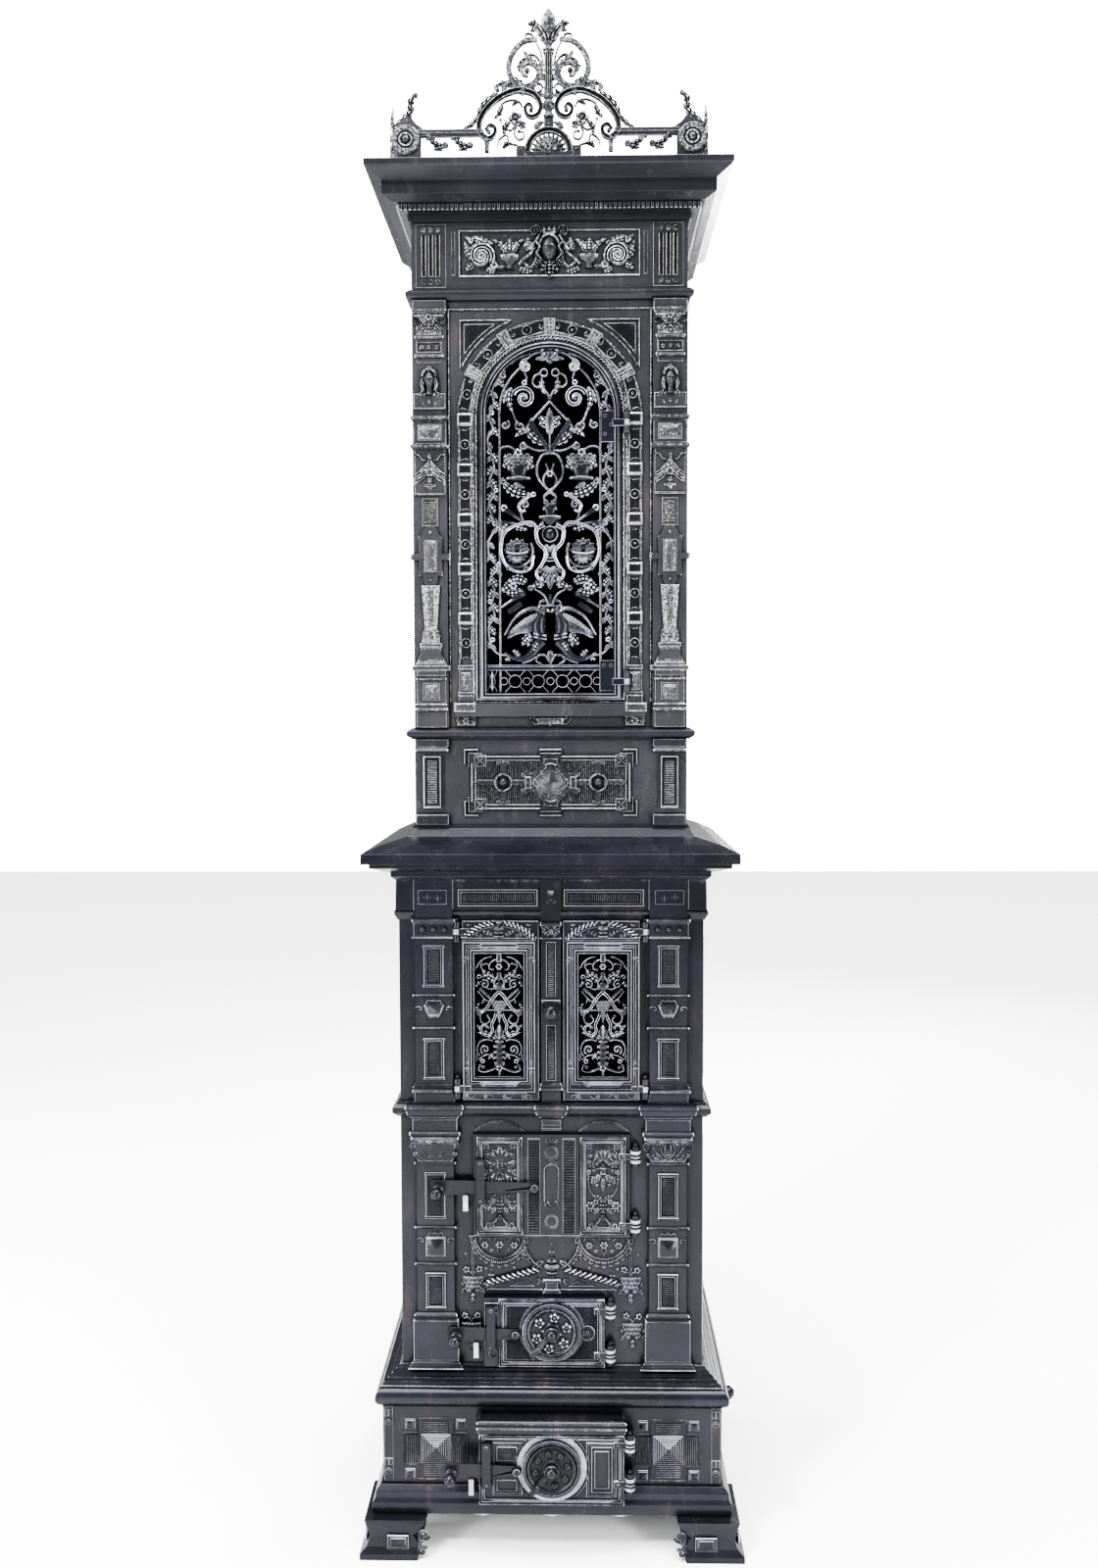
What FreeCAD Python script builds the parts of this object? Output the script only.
import FreeCAD, Part
import math
import os
import Sketcher

# Tiered cast iron room stove.  Millimetres, +Z up, the front faces -Y, and the
# origin is on the floor below the middle of the stove.

DRIVING_SIZES = (
    # Heights of the tiers, from the floor up
    ("foot_tall", 62, "feet, floor to plinth"),
    ("plinth_tall", 43, "moulded plinth above the feet"),
    ("base_tall", 129, "ash box tier"),
    ("roll_tall", 32, "round lip on the ash box"),
    ("skirt_tall", 24, "stepped skirt from the lip up to the firebox"),
    ("firebox_tall", 407, "firebox tier"),
    ("middle_band_tall", 24, "moulding between firebox and oven"),
    ("oven_tall", 358, "oven tier with its frieze"),
    ("shelf_tall", 84, "shelf cornice over the oven"),
    ("tower_base_tall", 137, "low tier under the arch"),
    ("lower_string_tall", 18, "moulding under the arch tier"),
    ("arch_tall", 667, "arch tier"),
    ("upper_string_tall", 17, "moulding over the arch tier"),
    ("frieze_tall", 104, "frieze tier"),
    ("cornice_tall", 74, "top cornice"),
    # Half widths and front planes of the tiers, measured from the origin
    ("base_half", 271, "half width of the ash box"),
    ("body_setback", 29, "firebox and oven walls inside the ash box walls"),
    ("tower_setback", 26, "tower walls inside the oven walls"),
    ("base_front", 206, "ash box front plane"),
    ("body_step", 26, "firebox and oven front behind the ash box front"),
    ("tower_step", 15, "tower front behind the oven front"),
    ("back_plane", 225, "flush back of every tier"),
    # Mouldings
    ("foot_flare", 34, "toe of a foot beyond the ash box wall"),
    ("foot_wide", 92, "width of a foot at the floor"),
    ("foot_front_flare", 39, "front feet beyond the ash box front"),
    ("foot_front_deep", 105, "depth of a front foot at the floor"),
    ("foot_back_flare", 10, "rear feet beyond the back"),
    ("foot_back_deep", 90, "depth of a rear foot at the floor"),
    ("plinth_reach", 16, "plinth moulding beyond the ash box"),
    ("band_reach", 12, "middle band beyond the firebox"),
    ("shelf_reach", 51, "shelf lip beyond the oven"),
    ("lower_string_reach", 12, "moulding under the arch tier beyond the tower"),
    ("upper_string_reach", 9, "moulding over the arch tier beyond the tower"),
    ("cornice_reach", 64, "top cornice beyond the tower"),
    ("pilaster_inset", 26, "pilasters inside the corners of firebox and oven"),
    ("pilaster_proud", 10, "pilasters in front of firebox and oven"),
    ("tower_pilaster_wide", 54, "width of a tower pilaster"),
    ("tower_pilaster_proud", 7, "tower pilasters in front of the tower"),
    ("sill_overhang", 39, "sill of the arch beyond the arch door"),
    ("sill_proud", 13, "sill of the arch in front of the tower"),
    ("sill_rise", 18, "sill of the arch above its tier"),
    ("sill_tall", 20, "height of the sill of the arch"),
    # Castings
    ("wall", 6, "wall of the castings"),
    ("ledge", 8, "inner ledge of each moulding ring"),
    ("seat_gap", 0.3, "gap between pieces that slide or swing"),
    ("pin_gap", 0.05, "radial clearance of a pin in a turning bore"),
    ("overcut", 1, "cutters beyond the faces they break through"),
    # Hinges
    ("pin_radius", 2.5, "hinge pin radius"),
    ("knuckle_radius", 6, "hinge knuckle radius"),
    ("knuckle_tall", 11, "height of one hinge knuckle"),
    ("hinge_offset", 9, "door edge to hinge axis"),
    ("leaf_reach", 10, "hinge leaves over the door's edge"),
    ("door_thick", 9, "thickness of a door plate"),
    ("door_lap", 12, "lap of a door over its opening"),
    ("hinge_inset", 4, "hinges inside the ends of a plain door"),
    ("fuel_hinge_drop", 18, "upper hinge of the fuel door below its top"),
    ("oven_hinge_inset", 2, "lower hinge above an oven door's lower edge"),
    ("arch_hinge_inset", 12, "lower hinge above the arch door's lower edge"),
    # Door sizes
    ("ash_door_half", 115, "half width of the ash door"),
    ("ash_door_drop", 18, "ash door's lower edge below the plinth's top"),
    ("ash_door_tall", 115, "height of the ash door"),
    ("ash_door_stand_off", 18, "ash door in front of the ash box"),
    ("ash_hood_tall", 20, "hood moulding over the ash door"),
    ("ash_hood_gap", 2, "hood moulding above the ash door"),
    ("ash_hood_proud", 6, "hood moulding in front of the ash door"),
    ("fire_door_half", 85, "half width of the fire door"),
    ("fire_door_rise", 1, "fire door's lower edge above the skirt"),
    ("fire_door_tall", 113, "height of the fire door"),
    ("fire_door_tab", 24, "latch tab on the fire door's left side"),
    ("fire_door_stand_off", 4, "fire door in front of the firebox"),
    ("fuel_door_half", 125, "half width of the fuel door"),
    ("fuel_door_rise", 212, "fuel door's lower edge above the skirt"),
    ("fuel_door_tall", 167, "height of the fuel door"),
    ("mullion_half", 15.5, "half width of the post between the oven doors"),
    ("oven_door_gap", 4, "post to oven door"),
    ("oven_door_wide", 121, "width of one oven door"),
    ("catch_inset", 15, "oven keepers inside the doors' inner edges"),
    ("catch_hook", 7, "reach of an oven keeper's lip"),
    ("catch_half", 12, "half height of an oven keeper"),
    ("catch_play", 1, "latch bar clear of the oven keepers"),
    ("oven_grille_shift", 2.5, "grille off the middle of its door, away from the post"),
    ("oven_door_rise", 4, "oven doors' lower edge above the middle band"),
    ("oven_door_tall", 287, "height of an oven door"),
    ("grille_wide", 75, "width of an oven door's grille"),
    ("grille_tall", 196, "height of an oven door's grille"),
    ("grille_rise", 38, "grille above an oven door's lower edge"),
    ("arch_door_radius", 111, "half width and top radius of the arch door"),
    ("arch_stile", 11.5, "frame width of the arch door"),
    ("arch_door_rise", 44, "arch door's lower edge above its tier"),
    ("arch_spring", 492, "springing of the arch above its tier"),
    ("grille_thick", 5, "thickness of the grille bars"),
    ("grille_sink", 2, "grille bars in front of the back of their door"),
    ("bar_wide", 7, "width of a grille bar"),
    # Latches
    ("lever_thick", 4, "thickness of a latch lever"),
    ("lever_deep", 22, "height of a latch lever"),
    ("lever_stand_off", 3, "latch lever in front of the door"),
    ("ash_lever_reach", 72, "ash latch pivot to the middle of its keeper"),
    ("fire_lever_reach", 63, "fire latch pivot to the middle of its keeper"),
    ("fuel_lever_reach", 110, "fuel latch pivot to the middle of its keeper"),
    ("short_tail", 32, "keeper to grip on the ash and fire latches"),
    ("long_tail", 44, "keeper to grip on the fuel latch"),
    ("keeper_offset", 12, "door edge to the middle of the keeper"),
    ("lever_pin_radius", 4, "latch pivot stud radius"),
    ("grip_radius", 10, "latch grip radius"),
    ("keeper_wide", 8, "width of a latch keeper"),
    ("keeper_tall", 26, "height of a latch keeper"),
    ("keeper_thick", 3, "thickness of a latch keeper's tip"),
    ("keeper_gap", 1, "latch keeper in front of and below its lever"),
    ("strap_inset", 5, "latch guide strap inside the door's left edge"),
    ("strap_gap", 1.5, "latch guide strap in front of its lever"),
    ("strap_thick", 3, "thickness of a latch guide strap and stud head"),
    ("strap_wide", 14, "width of a latch guide strap"),
    ("strap_tall", 72, "height of a latch guide strap"),
    # Air valves
    ("collar_radius", 47, "outer radius of an air valve collar"),
    ("collar_tall", 9, "height of an air valve collar"),
    ("collar_floor", 3, "thickness of the collar's floor under the valve"),
    ("valve_play", 1, "valve clear of its collar's rim"),
    ("valve_radius", 40, "radius of an air valve disc"),
    ("valve_thick", 7, "thickness of an air valve disc"),
    ("port_radius", 7, "radius of an air port"),
    ("port_circle", 25, "radius of the circle of air ports"),
    ("valve_lift", 4, "air valve above the middle of its door"),
    ("spindle_radius", 5, "air valve spindle radius"),
    ("valve_tab_angle", 230, "direction of the valve's tab, in degrees from +X"),
    ("valve_tab_wide", 8, "width of the valve's tab"),
    ("valve_tab_reach", 10, "valve's tab beyond its disc"),
    ("valve_tab_thick", 6, "thickness of the valve's tab"),
    # Inner pieces
    ("brick_thick", 30, "firebrick thickness"),
    ("brick_tall", 340, "firebrick height"),
    ("brick_gap", 5, "back and front bricks clear of the tie rods"),
    ("baffle_gap", 60, "smoke gap in front of the baffle"),
    ("grate_half", 126, "half width of the shaking grate"),
    ("grate_deep_half", 100, "half depth of the shaking grate"),
    ("grate_thick", 12, "thickness of the grate and its frame"),
    ("grate_travel", 30, "stroke of the shaking grate"),
    ("grate_play", 2, "grate and baffle clear of what holds them"),
    ("grate_rim", 10, "rim of the grate and of its seat"),
    ("grate_bar_wide", 8, "width of a grate bar"),
    ("grate_proud", 4, "grate above its frame"),
    ("lug_thick", 12, "thickness of the grate's lug"),
    ("lug_wall", 3, "metal round the shaker rod in the lug"),
    ("shaker_radius", 5, "shaker rod radius"),
    ("shaker_front", 130, "shaker rod in front of the origin"),
    ("shaker_drop", 15, "shaker rod below the top of the ash box"),
    ("shaker_knob_radius", 11, "shaker knob radius"),
    ("shaker_reach", 10, "shaker rod outside the ash box"),
    ("pan_half", 85, "half width of the ash pan"),
    ("pan_tall", 74, "height of the ash pan"),
    ("pan_wall", 2, "sheet thickness of the ash pan"),
    ("pan_grip_half", 30, "half width of the ash pan's grip"),
    ("pan_grip_reach", 22, "ash pan's grip in front of the pan"),
    ("pan_grip_rise", 40, "ash pan's grip above its floor"),
    ("pan_grip_tall", 8, "height of the ash pan's grip"),
    ("pan_front", 168, "ash pan front plane"),
    ("pan_back", 150, "ash pan back plane"),
    ("oven_box_half", 150, "half width of the oven box"),
    ("oven_box_back", 150, "oven box back plane"),
    ("sheet_wall", 4, "wall of the oven box"),
    ("oven_box_setback", 22, "oven box behind the front plate"),
    ("rod_radius", 4, "tie rod radius"),
    ("nut_radius", 8, "tie rod nut radius"),
    ("nut_tall", 7, "tie rod nut height"),
    ("flue_radius", 60, "outer radius of the flue collar"),
    ("flue_bore", 55, "bore radius of the flue collar"),
    ("flue_reach", 40, "flue collar beyond the back plates"),
    ("flue_lip", 6, "flange of the flue collar beyond its spigot"),
    # Crest
    ("crest_thick", 6, "thickness of the crest castings"),
    ("crest_half", 244, "half width of the crest"),
    ("crest_proud", 32, "back of the front crest in front of the tower"),
    ("crest_inset", 24, "corner scrolls inside the crest's ends"),
    ("crest_post_wide", 10, "width of the crest's posts and stem"),
    ("crest_disc_radius", 23, "radius of the crest's corner scrolls"),
    ("crest_finial_tall", 52, "height of the crest's corner finials"),
    ("crest_ring_radius", 34, "outer radius of the crest's twin rings"),
    ("crest_ring_bore", 25, "bore radius of the crest's twin rings"),
    ("crest_shell_radius", 40, "radius of the crest's half-round shell"),
    ("crest_leaf_half", 30, "half width of the crest's top leaf"),
    ("crest_rail_rise", 37, "crest rail above the cornice"),
    ("crest_rail_tall", 18, "height of the crest rail"),
    ("crest_tall", 236, "front crest above the cornice"),
    ("gallery_tall", 90, "side galleries above the cornice"),
)


class Size:
    """A length that knows both its spreadsheet expression and its present value."""

    def __init__(self, text, number):
        self.text = text
        self.number = number

    @staticmethod
    def of(value):
        return value if isinstance(value, Size) else Size(repr(value), value)

    def join(self, sign, other, number):
        return Size("(%s %s %s)" % (self.text, sign, other.text), number)

    def __add__(self, other):
        other = Size.of(other)
        return self.join("+", other, self.number + other.number)

    def __sub__(self, other):
        other = Size.of(other)
        return self.join("-", other, self.number - other.number)

    def __mul__(self, other):
        other = Size.of(other)
        return self.join("*", other, self.number * other.number)

    def __truediv__(self, other):
        other = Size.of(other)
        return self.join("/", other, self.number / other.number)

    def __radd__(self, other):
        return Size.of(other) + self

    def __rsub__(self, other):
        return Size.of(other) - self

    def __rmul__(self, other):
        return Size.of(other) * self

    def __neg__(self):
        return Size("(0 - %s)" % self.text, -self.number)


def direction(size):
    """Cosine and sine of an angle that the spreadsheet holds in degrees."""
    angle = math.radians(size.number)
    return (Size("cos(%s * 1 deg)" % size.text, math.cos(angle)),
            Size("sin(%s * 1 deg)" % size.text, math.sin(angle)))


class Sizes:
    """The spreadsheet of driving sizes, read as attributes."""

    def __init__(self, document):
        sheet = document.addObject("Spreadsheet::Sheet", "Sizes")
        for row, (alias, value, meaning) in enumerate(DRIVING_SIZES, start=1):
            sheet.set("A%d" % row, meaning)
            sheet.set("B%d" % row, str(value))
            sheet.setAlias("B%d" % row, alias)
            setattr(self, alias, Size("Sizes." + alias, value))


doc = FreeCAD.newDocument("tiered_stove")
s = Sizes(doc)
doc.recompute()
nodes = {}

# Half widths and front planes of the upper tiers
body_half = s.base_half - s.body_setback
tower_half = body_half - s.tower_setback
body_front = s.base_front - s.body_step
tower_front = body_front - s.tower_step

# Levels, from the floor up
plinth_low = s.foot_tall
base_low = plinth_low + s.plinth_tall
lip_low = base_low + s.base_tall
roll_top = lip_low + s.roll_tall
firebox_low = roll_top + s.skirt_tall
band_low = firebox_low + s.firebox_tall
oven_low = band_low + s.middle_band_tall
shelf_low = oven_low + s.oven_tall
tower_low = shelf_low + s.shelf_tall
lower_string_low = tower_low + s.tower_base_tall
arch_low = lower_string_low + s.lower_string_tall
upper_string_low = arch_low + s.arch_tall
frieze_low = upper_string_low + s.upper_string_tall
cornice_low = frieze_low + s.frieze_tall
crest_low = cornice_low + s.cornice_tall
rod_x = tower_half - s.wall - s.ledge - s.rod_radius * 2
rod_front = tower_front - s.wall - s.ledge - s.rod_radius * 2
rod_back = s.back_plane - s.wall - s.ledge - s.rod_radius * 2

PORTS = 6
GRATE_BARS = 12
GALLERY_POSTS = 5
PLANE_ROLES = {"xz": "XZ_Plane", "yz": "YZ_Plane", "xy": "XY_Plane"}
TURNS = {
    "+x": FreeCAD.Rotation(FreeCAD.Vector(0, 1, 0), 90),
    "+y": FreeCAD.Rotation(FreeCAD.Vector(1, 0, 0), -90),
    "-y": FreeCAD.Rotation(FreeCAD.Vector(1, 0, 0), 90),
    "+z": FreeCAD.Rotation(),
}


# ---------------------------------------------------------------- helpers

def bind(thing, path, size):
    """Set a property from a size and keep it bound to the spreadsheet."""
    thing.setExpression(path, Size.of(size).text)


def place(thing, point, turn="+z"):
    thing.Placement = FreeCAD.Placement(FreeCAD.Vector(), TURNS[turn])
    for letter, size in zip("xyz", point):
        bind(thing, "Placement.Base." + letter, size)


def block(name, low, high):
    """A box given by its low and high corners."""
    box = doc.addObject("Part::Box", name)
    for prop, a, b in zip(("Length", "Width", "Height"), low, high):
        bind(box, prop, Size.of(b) - a)
    place(box, low)
    return box


def rod(name, start, radius, length, turn="+z"):
    """A cylinder that starts at a point and runs the given way."""
    bar = doc.addObject("Part::Cylinder", name)
    bind(bar, "Radius", radius)
    bind(bar, "Height", length)
    place(bar, start, turn)
    return bar


def cone(name, start, low_radius, high_radius, length, turn="+z"):
    taper = doc.addObject("Part::Cone", name)
    bind(taper, "Radius1", low_radius)
    bind(taper, "Radius2", high_radius)
    bind(taper, "Height", length)
    place(taper, start, turn)
    return taper


def ball(name, centre, radius):
    sphere = doc.addObject("Part::Sphere", name)
    bind(sphere, "Radius", radius)
    place(sphere, centre)
    return sphere


def fuse(name, pieces):
    joined = doc.addObject("Part::MultiFuse", name)
    joined.Shapes = pieces
    return joined


def cut(name, base, tools):
    tool = tools[0] if len(tools) == 1 else fuse(name + "_tools", tools)
    result = doc.addObject("Part::Cut", name)
    result.Base = base
    result.Tool = tool
    return result


def common(name, first, second):
    result = doc.addObject("Part::Common", name)
    result.Base = first
    result.Tool = second
    return result


def group(name, pieces):
    """Several separate solids in one node."""
    bundle = doc.addObject("Part::Compound", name)
    bundle.Links = pieces
    return bundle


def node(name, thing):
    thing.Label = name
    nodes[name] = thing


def bend(corner, letter, centre, turn):
    """The side that leaves this corner is an arc: turn is 1 for anticlockwise, and
    letter says which coordinate of its centre is given."""
    return corner + (letter, Size.of(centre), turn)


def arc_centre(start, finish, letter, centre):
    """The arc's centre on the mid line of its two ends."""
    a1, b1 = start
    a2, b2 = finish
    if letter == "a":
        lift = (a2 - centre) ** 2 - (a1 - centre) ** 2 + b2 ** 2 - b1 ** 2
        return centre, lift / (2 * (b2 - b1))
    lift = (b2 - centre) ** 2 - (b1 - centre) ** 2 + a2 ** 2 - a1 ** 2
    return lift / (2 * (a2 - a1)), centre


def add_side(sketch, corner, following):
    """One line or arc of an outline; returns its index and its two end positions."""
    start = (Size.of(corner[0]).number, Size.of(corner[1]).number)
    finish = (Size.of(following[0]).number, Size.of(following[1]).number)
    if len(corner) == 2:
        line = Part.LineSegment(FreeCAD.Vector(*start, 0), FreeCAD.Vector(*finish, 0))
        return sketch.addGeometry(line, False), 1, 2
    letter, centre, turn = corner[2:]
    middle = arc_centre(start, finish, letter, centre.number)
    radius = math.dist(middle, start)
    angles = [math.atan2(end[1] - middle[1], end[0] - middle[0]) for end in (start, finish)]
    if turn < 0:
        angles.reverse()
    if angles[1] <= angles[0]:
        angles[1] += 2 * math.pi
    circle = Part.Circle(FreeCAD.Vector(*middle, 0), FreeCAD.Vector(0, 0, 1), radius)
    index = sketch.addGeometry(Part.ArcOfCircle(circle, *angles), False)
    return (index, 1, 2) if turn > 0 else (index, 2, 1)


def pin_down(sketch, kind, index, position, size):
    """Hold one coordinate of a sketch point at a size."""
    size = Size.of(size)
    number = sketch.addConstraint(Sketcher.Constraint(kind, index, position, size.number))
    sketch.setExpression("Constraints[%d]" % number, size.text)


def draw(sketch, corners):
    """A closed outline with every corner held by the spreadsheet."""
    following = corners[1:] + corners[:1]
    sides = [add_side(sketch, here, there) for here, there in zip(corners, following)]
    for side, after in zip(sides, sides[1:] + sides[:1]):
        sketch.addConstraint(Sketcher.Constraint("Coincident", side[0], side[2], after[0], after[1]))
    for corner, (index, start, _) in zip(corners, sides):
        pin_down(sketch, "DistanceX", index, start, corner[0])
        pin_down(sketch, "DistanceY", index, start, corner[1])
        if len(corner) > 2:
            kind = "DistanceX" if corner[2] == "a" else "DistanceY"
            pin_down(sketch, kind, index, 3, corner[3])


def body_sketch(name, plane, offset=0):
    """A body with one sketch on its own origin plane, offset along the plane's normal."""
    body = doc.addObject("PartDesign::Body", name)
    sketch = body.newObject("Sketcher::SketchObject", name + "_outline")
    role = PLANE_ROLES[plane]
    flat = [item for item in body.Origin.OriginFeatures if item.Role == role][0]
    sketch.AttachmentSupport = (flat, [""])
    sketch.MapMode = "FlatFace"
    bind(sketch, "AttachmentOffset.Base.z", offset)
    return body, sketch


def padded(name, plane, outlines, start, length):
    """A body padded from outlines; xz pads run towards -Y, yz towards +X, xy towards +Z."""
    offset = -Size.of(start) if plane == "xz" else start
    body, sketch = body_sketch(name, plane, offset)
    for corners in outlines:
        draw(sketch, corners)
    pad = body.newObject("PartDesign::Pad", name + "_pad")
    pad.Profile = sketch
    bind(pad, "Length", length)
    body.Tip = pad
    return body


def turned(name, corners, point, turn):
    """A body turned about its own Z axis from (radius, height) corners, then placed."""
    body, sketch = body_sketch(name, "xz")
    draw(sketch, corners)
    revolution = body.newObject("PartDesign::Revolution", name + "_turn")
    revolution.Profile = sketch
    revolution.ReferenceAxis = (sketch, ["V_Axis"])
    revolution.Angle = 360
    body.Tip = revolution
    place(body, point, turn)
    return body


def rectangle(left, right, low, high):
    return [(left, low), (right, low), (right, high), (left, high)]


def ring_outlines(half, front, steps):
    """The front and side outlines of a moulding whose steps are (reach, level) corners."""
    across = [shifted(step, half) for step in steps]
    mirrored = [mirror(step) for step in reversed_bends(across)]
    along = [mirror(step) for step in reversed_bends([shifted(step, front) for step in steps])]
    low = Size.of(steps[0][1])
    high = Size.of(steps[-1][1])
    return across + mirrored, [(s.back_plane, low), (s.back_plane, high)] + along


def shifted(step, reach):
    moved = (step[0] + reach, step[1])
    return moved if len(step) == 2 else bend(moved, step[2], step[3] + reach, step[4])


def reversed_bends(steps):
    """The same run of corners walked the other way, arcs kept on their sides."""
    backward = []
    for index in range(len(steps) - 1, -1, -1):
        corner = steps[index][:2]
        before = steps[index - 1] if index else ()
        if len(before) > 2:
            corner = bend(corner, before[2], before[3], -before[4])
        backward.append(corner)
    return backward


def mirror(step):
    flipped = (-Size.of(step[0]), step[1])
    return flipped if len(step) == 2 else bend(flipped, step[2], -step[3], -step[4])


def moulding(name, half, front, steps):
    """A solid moulding: mitred steps on the front and both sides, a flush back."""
    across, along = ring_outlines(half, front, steps)
    deep = s.base_front * 2 + s.back_plane
    wide = s.base_half * 4
    face = padded(name + "_front", "xz", [across], s.back_plane, deep)
    flank = padded(name + "_side", "yz", [along], -wide / 2, wide)
    return common(name + "_mitre", face, flank)


def hollow(name, half, front, low, high):
    """The space inside a tier, to be cut out of a ring."""
    inner = s.wall + s.ledge
    return block(name, (inner - half, inner - front, low), (half - inner, s.back_plane - inner, high))


def ring(name, half, front, steps, inner_half, inner_front):
    solid = moulding(name, half, front, steps)
    space = hollow(name + "_space", inner_half, inner_front, steps[0][1] - s.overcut,
                   steps[-1][1] + s.overcut)
    return cut(name, solid, [space])


def front_plate(name, half, front, low, high, openings):
    """A front casting with its openings."""
    outlines = [rectangle(-half, half, low, high)] + openings
    return padded(name, "xz", outlines, s.wall - front, s.wall)


def side_and_back_plates(tier, half, front, low, high):
    """The left, right and back castings of a tier, which butt against the front one."""
    inside = half - s.wall
    front_face = s.wall - front
    back_face = s.back_plane - s.wall
    node(tier + "_left", block(tier + "_left", (-half, front_face, low), (-inside, back_face, high)))
    node(tier + "_right", block(tier + "_right", (inside, front_face, low), (half, back_face, high)))
    node(tier + "_back", block(tier + "_back", (-half, back_face, low), (half, s.back_plane, high)))


# ---------------------------------------------------------------- hinges

class Hinge:
    """Two three-part hinges on one upright axis: frame lugs, door knuckles and pins."""

    def __init__(self, name, x, y, plate_y, lows, side):
        self.name = name
        self.x = x
        self.y = y
        self.plate_y = plate_y
        self.lows = lows
        self.side = side

    def each(self):
        for number, low in enumerate(self.lows):
            yield "%s_%d" % (self.name, number), low

    def lugs(self):
        """Frame lugs, below and above each knuckle, with webs back to the plate."""
        pieces = []
        for name, low in self.each():
            for end, start in (("low", low), ("high", low + s.knuckle_tall * 2)):
                title = "%s_lug_%s" % (name, end)
                pieces.append(rod(title, (self.x, self.y, start), s.knuckle_radius, s.knuckle_tall))
                web = s.knuckle_radius * 0.75
                pieces.append(block(title + "_web", (self.x - web, self.y, start),
                                    (self.x + web, self.plate_y, start + s.knuckle_tall)))
        return pieces

    def lug_holes(self):
        return [rod(name + "_lug_hole", (self.x, self.y, low - s.overcut), s.pin_radius,
                    s.knuckle_tall * 3 + s.overcut * 2) for name, low in self.each()]

    def knuckles(self, leaf):
        """Door knuckles with leaves that run onto the door's face."""
        pieces = []
        for name, low in self.each():
            start = low + s.knuckle_tall + s.seat_gap
            tall = s.knuckle_tall - s.seat_gap * 2
            pieces.append(rod(name + "_knuckle", (self.x, self.y, start), s.knuckle_radius, tall))
            ends = sorted((self.x, self.x - self.side * leaf), key=lambda size: size.number)
            pieces.append(block(name + "_leaf", (ends[0], self.y - s.lever_thick, start),
                                (ends[1], self.y + s.overcut, start + tall)))
        return pieces

    def knuckle_holes(self):
        return [rod(name + "_knuckle_hole", (self.x, self.y, low), s.pin_radius + s.pin_gap,
                    s.knuckle_tall * 3) for name, low in self.each()]

    def pins(self):
        pieces = []
        for name, low in self.each():
            shank = rod(name + "_shank", (self.x, self.y, low), s.pin_radius, s.knuckle_tall * 3)
            head = ball(name + "_head", (self.x, self.y, low + s.knuckle_tall * 3 + s.pin_radius),
                        s.pin_radius * 1.4)
            pieces.append(fuse(name + "_pin", [shank, head]))
        return pieces


ash_door_back = -(s.base_front + s.ash_door_stand_off)
fire_door_back = -(body_front + s.fire_door_stand_off)
fuel_door_back = -body_front
oven_door_back = -body_front
arch_door_back = -tower_front

ash_door_low = base_low - s.ash_door_drop
ash_door_top = ash_door_low + s.ash_door_tall
fire_door_low = firebox_low + s.fire_door_rise
fire_door_top = fire_door_low + s.fire_door_tall
fuel_door_low = firebox_low + s.fuel_door_rise
fuel_door_top = fuel_door_low + s.fuel_door_tall
oven_door_low = oven_low + s.oven_door_rise
oven_door_top = oven_door_low + s.oven_door_tall
oven_door_inner = s.mullion_half + s.oven_door_gap
oven_door_outer = oven_door_inner + s.oven_door_wide
arch_door_low = arch_low + s.arch_door_rise
arch_centre = arch_low + s.arch_spring
hinge_tall = s.knuckle_tall * 3

ash_hinge = Hinge("ash_hinge", s.ash_door_half + s.hinge_offset, ash_door_back - s.door_thick,
                  -s.base_front, (base_low + 1, ash_door_top - hinge_tall), 1)
fire_hinge = Hinge("fire_hinge", s.fire_door_half + s.hinge_offset, fire_door_back - s.door_thick,
                   -body_front,
                   (fire_door_low + s.hinge_inset, fire_door_top - hinge_tall - s.hinge_inset), 1)
fuel_hinge = Hinge("fuel_hinge", s.fuel_door_half + s.hinge_offset, fuel_door_back - s.door_thick,
                   -body_front,
                   (fuel_door_low + s.hinge_inset, fuel_door_top - hinge_tall - s.fuel_hinge_drop), 1)
left_oven_hinge = Hinge("left_oven_hinge", -(oven_door_outer + s.hinge_offset),
                        oven_door_back - s.door_thick, -body_front,
                        (oven_door_low + s.oven_hinge_inset, oven_door_top - hinge_tall), -1)
right_oven_hinge = Hinge("right_oven_hinge", oven_door_outer + s.hinge_offset,
                         oven_door_back - s.door_thick, -body_front,
                         (oven_door_low + s.oven_hinge_inset, oven_door_top - hinge_tall), 1)
arch_hinge = Hinge("arch_hinge", s.arch_door_radius + s.hinge_offset, arch_door_back - s.door_thick,
                   -tower_front, (arch_door_low + s.arch_hinge_inset, arch_centre - hinge_tall), 1)
HINGES = (ash_hinge, fire_hinge, fuel_hinge, left_oven_hinge, right_oven_hinge, arch_hinge)


# ---------------------------------------------------------------- foot and ash box tiers

def turned_over(outline):
    """The mirror image of an outline of straight sides, walked the same way round."""
    return [(-Size.of(corner[0]), corner[1]) for corner in reversed(outline)]


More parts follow.
